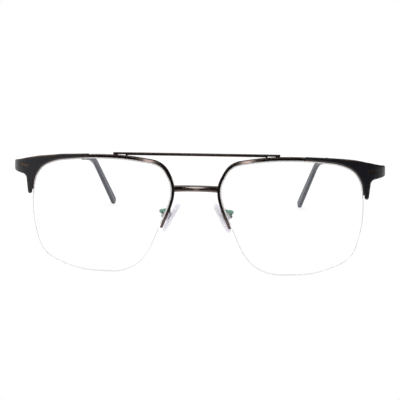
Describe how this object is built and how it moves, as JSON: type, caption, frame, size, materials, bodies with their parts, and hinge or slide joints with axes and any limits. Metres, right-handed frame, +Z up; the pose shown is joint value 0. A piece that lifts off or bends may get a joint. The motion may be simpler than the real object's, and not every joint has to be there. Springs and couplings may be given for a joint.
{
  "type": "double bridge glasses",
  "caption": "Half-rimmed metal glasses with a straight upper bar over a lower bridge, dark brow plates, clear lenses, adjustable nose pads and folding temples.",
  "frame": {"origin": "on the surface that the open glasses stand on, below the middle of their bounding box", "axes": "+X to the wearer's left, +Y from the lenses back to the ears, +Z up from the surface under the lenses and temple tips"},
  "size_m": [0.1438, 0.1366, 0.0461],
  "materials": {
    "clear_lens": "polished clear plastic lens with a hard coat",
    "nylon": "translucent nylon monofilament",
    "bare_metal": "fine brushed",
    "brow_enamel": "satin black enamel with a bare brown gold edge",
    "frame_metal": "dark gunmetal plating with a brown tint",
    "hinge_metal": "satin nickel silver",
    "tip_acetate": "polished dark blue grey acetate",
    "pad_insert": "clear hard plastic",
    "pad_silicone": "clear soft silicone, faintly violet"
  },
  "bodies": {
    "front": {"top_bar": "frame_metal", "bridge": "frame_metal", "left_lens": "clear_lens", "left_rim_liner": "nylon", "left_lens_cord": "nylon", "left_inlay": "bare_metal", "left_brow_plate": "brow_enamel", "left_half_rim": "frame_metal", "left_end_piece": "frame_metal", "left_front_hinge": "hinge_metal", "left_hinge_screw": "hinge_metal", "left_pad_box": "hinge_metal", "left_pad_screw": "hinge_metal", "left_pad_arm": "hinge_metal", "right_lens": "clear_lens", "right_rim_liner": "nylon", "right_lens_cord": "nylon", "right_inlay": "bare_metal", "right_brow_plate": "brow_enamel", "right_half_rim": "frame_metal", "right_end_piece": "frame_metal", "right_front_hinge": "hinge_metal", "right_hinge_screw": "hinge_metal", "right_pad_box": "hinge_metal", "right_pad_screw": "hinge_metal", "right_pad_arm": "hinge_metal"},
    "left_temple": {"left_temple_hinge": "hinge_metal", "left_temple_arm": "frame_metal", "left_temple_tip": "tip_acetate"},
    "left_pad": {"left_pad_core": "pad_insert", "left_nose_pad": "pad_silicone"},
    "right_temple": {"right_temple_hinge": "hinge_metal", "right_temple_arm": "frame_metal", "right_temple_tip": "tip_acetate"},
    "right_pad": {"right_pad_core": "pad_insert", "right_nose_pad": "pad_silicone"}
  },
  "joints": [
    {"name": "left_temple_fold", "type": "hinge", "parent": "front", "child": "left_temple", "pos_m": [0.06906, -0.05131, 0.0385], "axis": [0, 0, 1], "range_deg": [-1.7, 80.3]},
    {"name": "right_temple_fold", "type": "hinge", "parent": "front", "child": "right_temple", "pos_m": [-0.06906, -0.05131, 0.0385], "axis": [0, 0, -1], "range_deg": [0, 79]},
    {"name": "left_pad_rock", "type": "hinge", "parent": "front", "child": "left_pad", "pos_m": [0.01158, -0.05961, 0.02161], "axis": [0.1661, 0.9816, 0.094], "range_deg": [-8, 8]},
    {"name": "right_pad_rock", "type": "hinge", "parent": "front", "child": "right_pad", "pos_m": [-0.01158, -0.05961, 0.02161], "axis": [-0.1661, 0.9816, 0.094], "range_deg": [-8, 8]}
  ]
}
